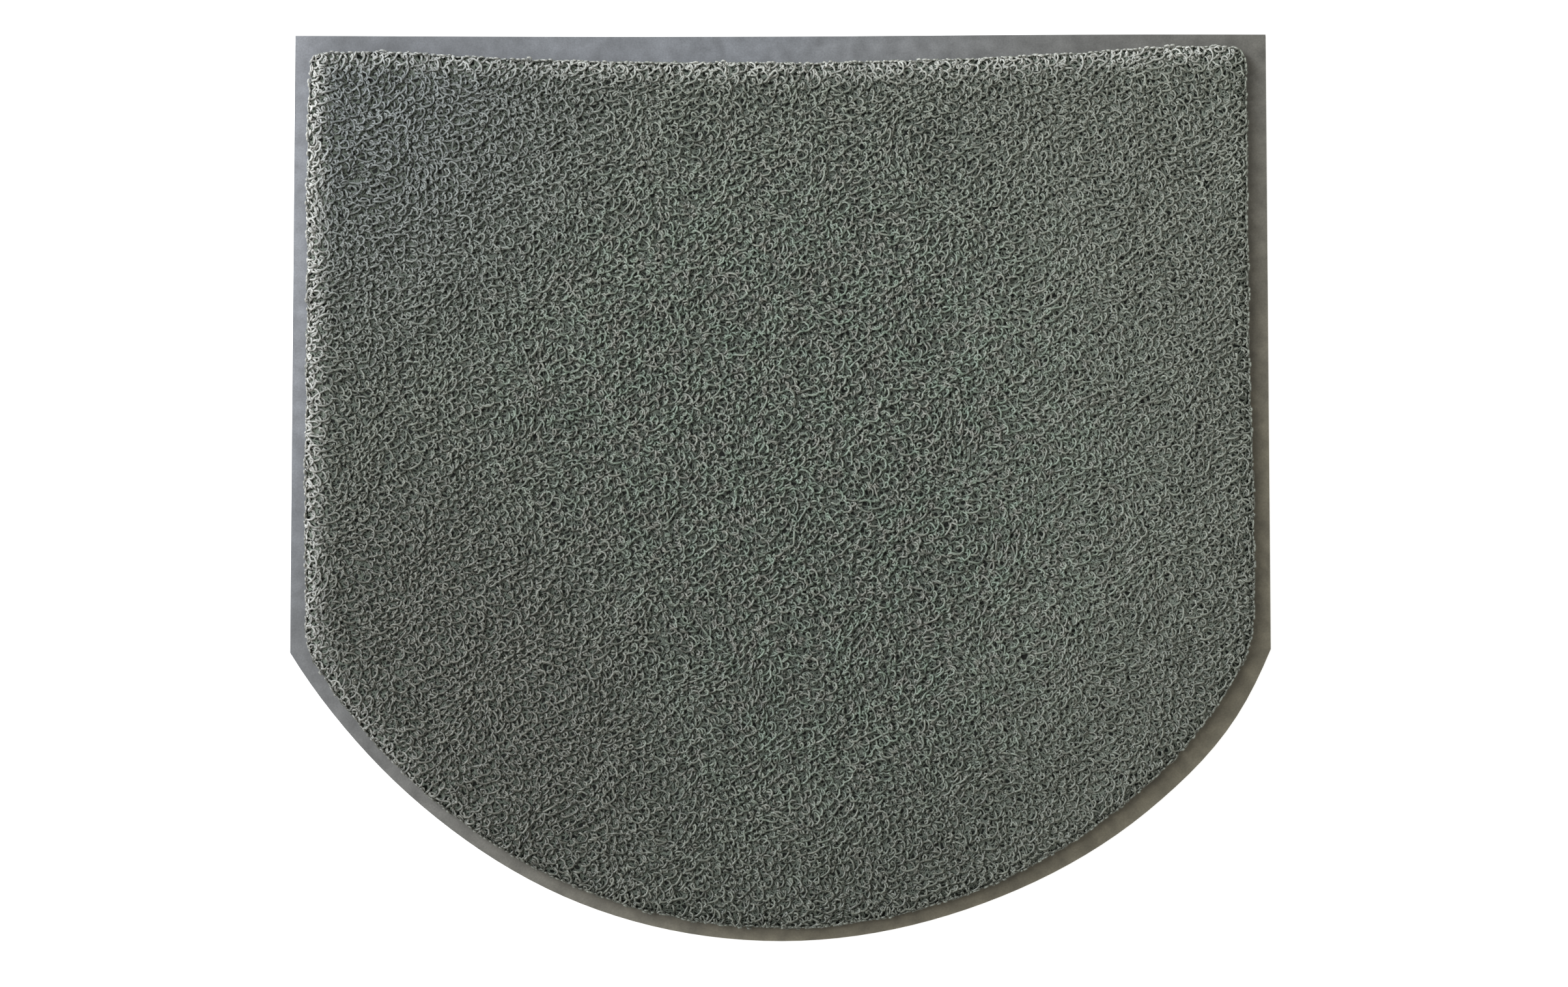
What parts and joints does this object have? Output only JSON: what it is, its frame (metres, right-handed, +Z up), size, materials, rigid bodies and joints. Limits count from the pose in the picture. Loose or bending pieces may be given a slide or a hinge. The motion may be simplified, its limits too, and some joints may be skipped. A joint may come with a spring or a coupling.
{
  "type": "half round litter mat",
  "caption": "Flat half round mat: a looped vinyl pile on a plain vinyl sheet whose margin shows all round, with a straight back edge and a curved front.",
  "frame": {"origin": "middle of the mat's plan, on the floor under the sheet", "axes": "+Z up; +Y towards the straight back edge; +X to the right, seen from the curved front"},
  "size_m": [0.61, 0.5663, 0.012],
  "materials": {
    "backing_sheet": "soft calendered vinyl sheet, grey, with a fine grain and a low sheen",
    "loop_pile": "extruded soft vinyl strand in tangled loops, green-grey, satin"
  },
  "bodies": {
    "root": {"backing_sheet": "backing_sheet", "loop_pile": "loop_pile"}
  },
  "joints": []
}
